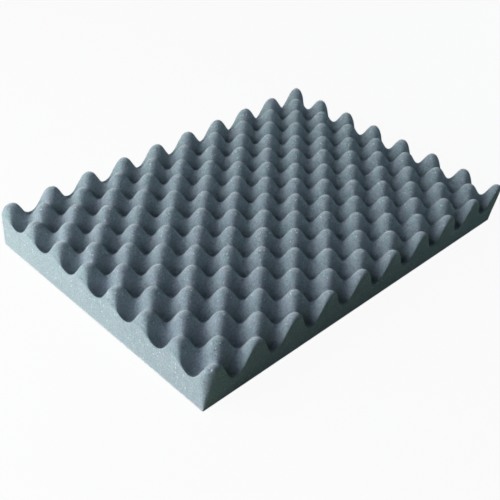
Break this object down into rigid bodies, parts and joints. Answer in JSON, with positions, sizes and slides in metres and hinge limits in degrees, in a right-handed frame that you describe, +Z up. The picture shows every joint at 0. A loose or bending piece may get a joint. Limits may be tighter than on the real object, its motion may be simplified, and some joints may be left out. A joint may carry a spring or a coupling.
{
  "type": "convoluted foam sheet",
  "caption": "Rectangular acoustic foam sheet with a convoluted face of rounded humps and hollows, cut edges and a flat self-adhesive back under a peel-off liner.",
  "frame": {"origin": "middle of the underside, on the outer face of the release liner that the sheet rests on", "axes": "+X along the long side, +Y along the short side, +Z up through the foam towards the humps"},
  "size_m": [0.497, 0.356, 0.0518],
  "materials": {
    "foam": "matte",
    "adhesive": "gloss",
    "liner_paper": "satin"
  },
  "bodies": {
    "root": {"foam_sheet": "foam", "adhesive_film": "adhesive", "release_liner": "liner_paper"}
  },
  "joints": []
}
